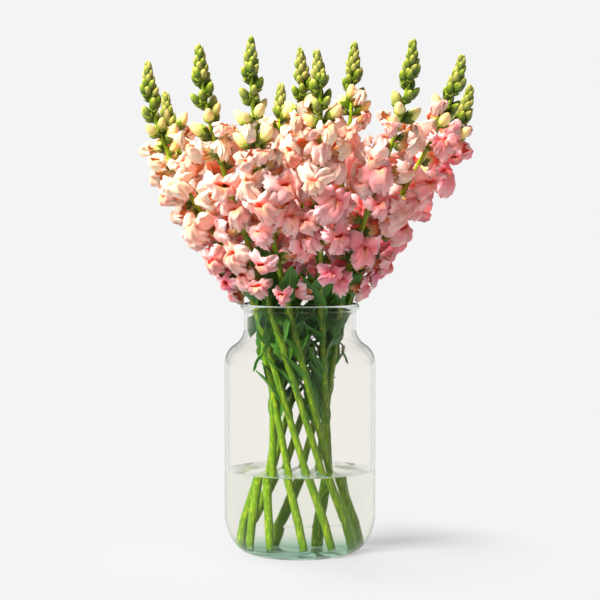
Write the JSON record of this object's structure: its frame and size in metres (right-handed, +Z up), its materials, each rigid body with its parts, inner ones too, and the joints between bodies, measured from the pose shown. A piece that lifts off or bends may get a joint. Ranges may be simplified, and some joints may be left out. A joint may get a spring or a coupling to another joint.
{
  "type": "bunch of snapdragon stems in a glass vase",
  "caption": "Clear glass jar vase with water, holding a loose bunch of cut pink snapdragons with green budded tips, crossed stalks and lance-shaped leaves.",
  "frame": {"origin": "middle of the underside of the vase, on the surface that it stands on", "axes": "+Z up, along the vase's axis of turning; -Y faces the viewer of the picture, and +X is to that viewer's right"},
  "size_m": [0.3301, 0.2653, 0.511],
  "materials": {
    "glass": "clear recycled glass, polished, faintly green where it is thick",
    "water": "clear still water",
    "green_plant": "fresh green stalks, leaves and buds, satin",
    "pink_petals": "soft petals from cream and peach to pink and salmon, slightly translucent"
  },
  "bodies": {
    "root": {"vase": "glass", "water": "water", "stem_1": "green_plant", "blossoms_1": "pink_petals", "stem_2": "green_plant", "blossoms_2": "pink_petals", "stem_3": "green_plant", "blossoms_3": "pink_petals", "stem_4": "green_plant", "blossoms_4": "pink_petals", "stem_5": "green_plant", "blossoms_5": "pink_petals", "stem_6": "green_plant", "blossoms_6": "pink_petals", "stem_7": "green_plant", "blossoms_7": "pink_petals", "stem_8": "green_plant", "blossoms_8": "pink_petals", "stem_9": "green_plant", "blossoms_9": "pink_petals", "stem_10": "green_plant", "blossoms_10": "pink_petals", "stem_11": "green_plant", "blossoms_11": "pink_petals"}
  },
  "joints": []
}
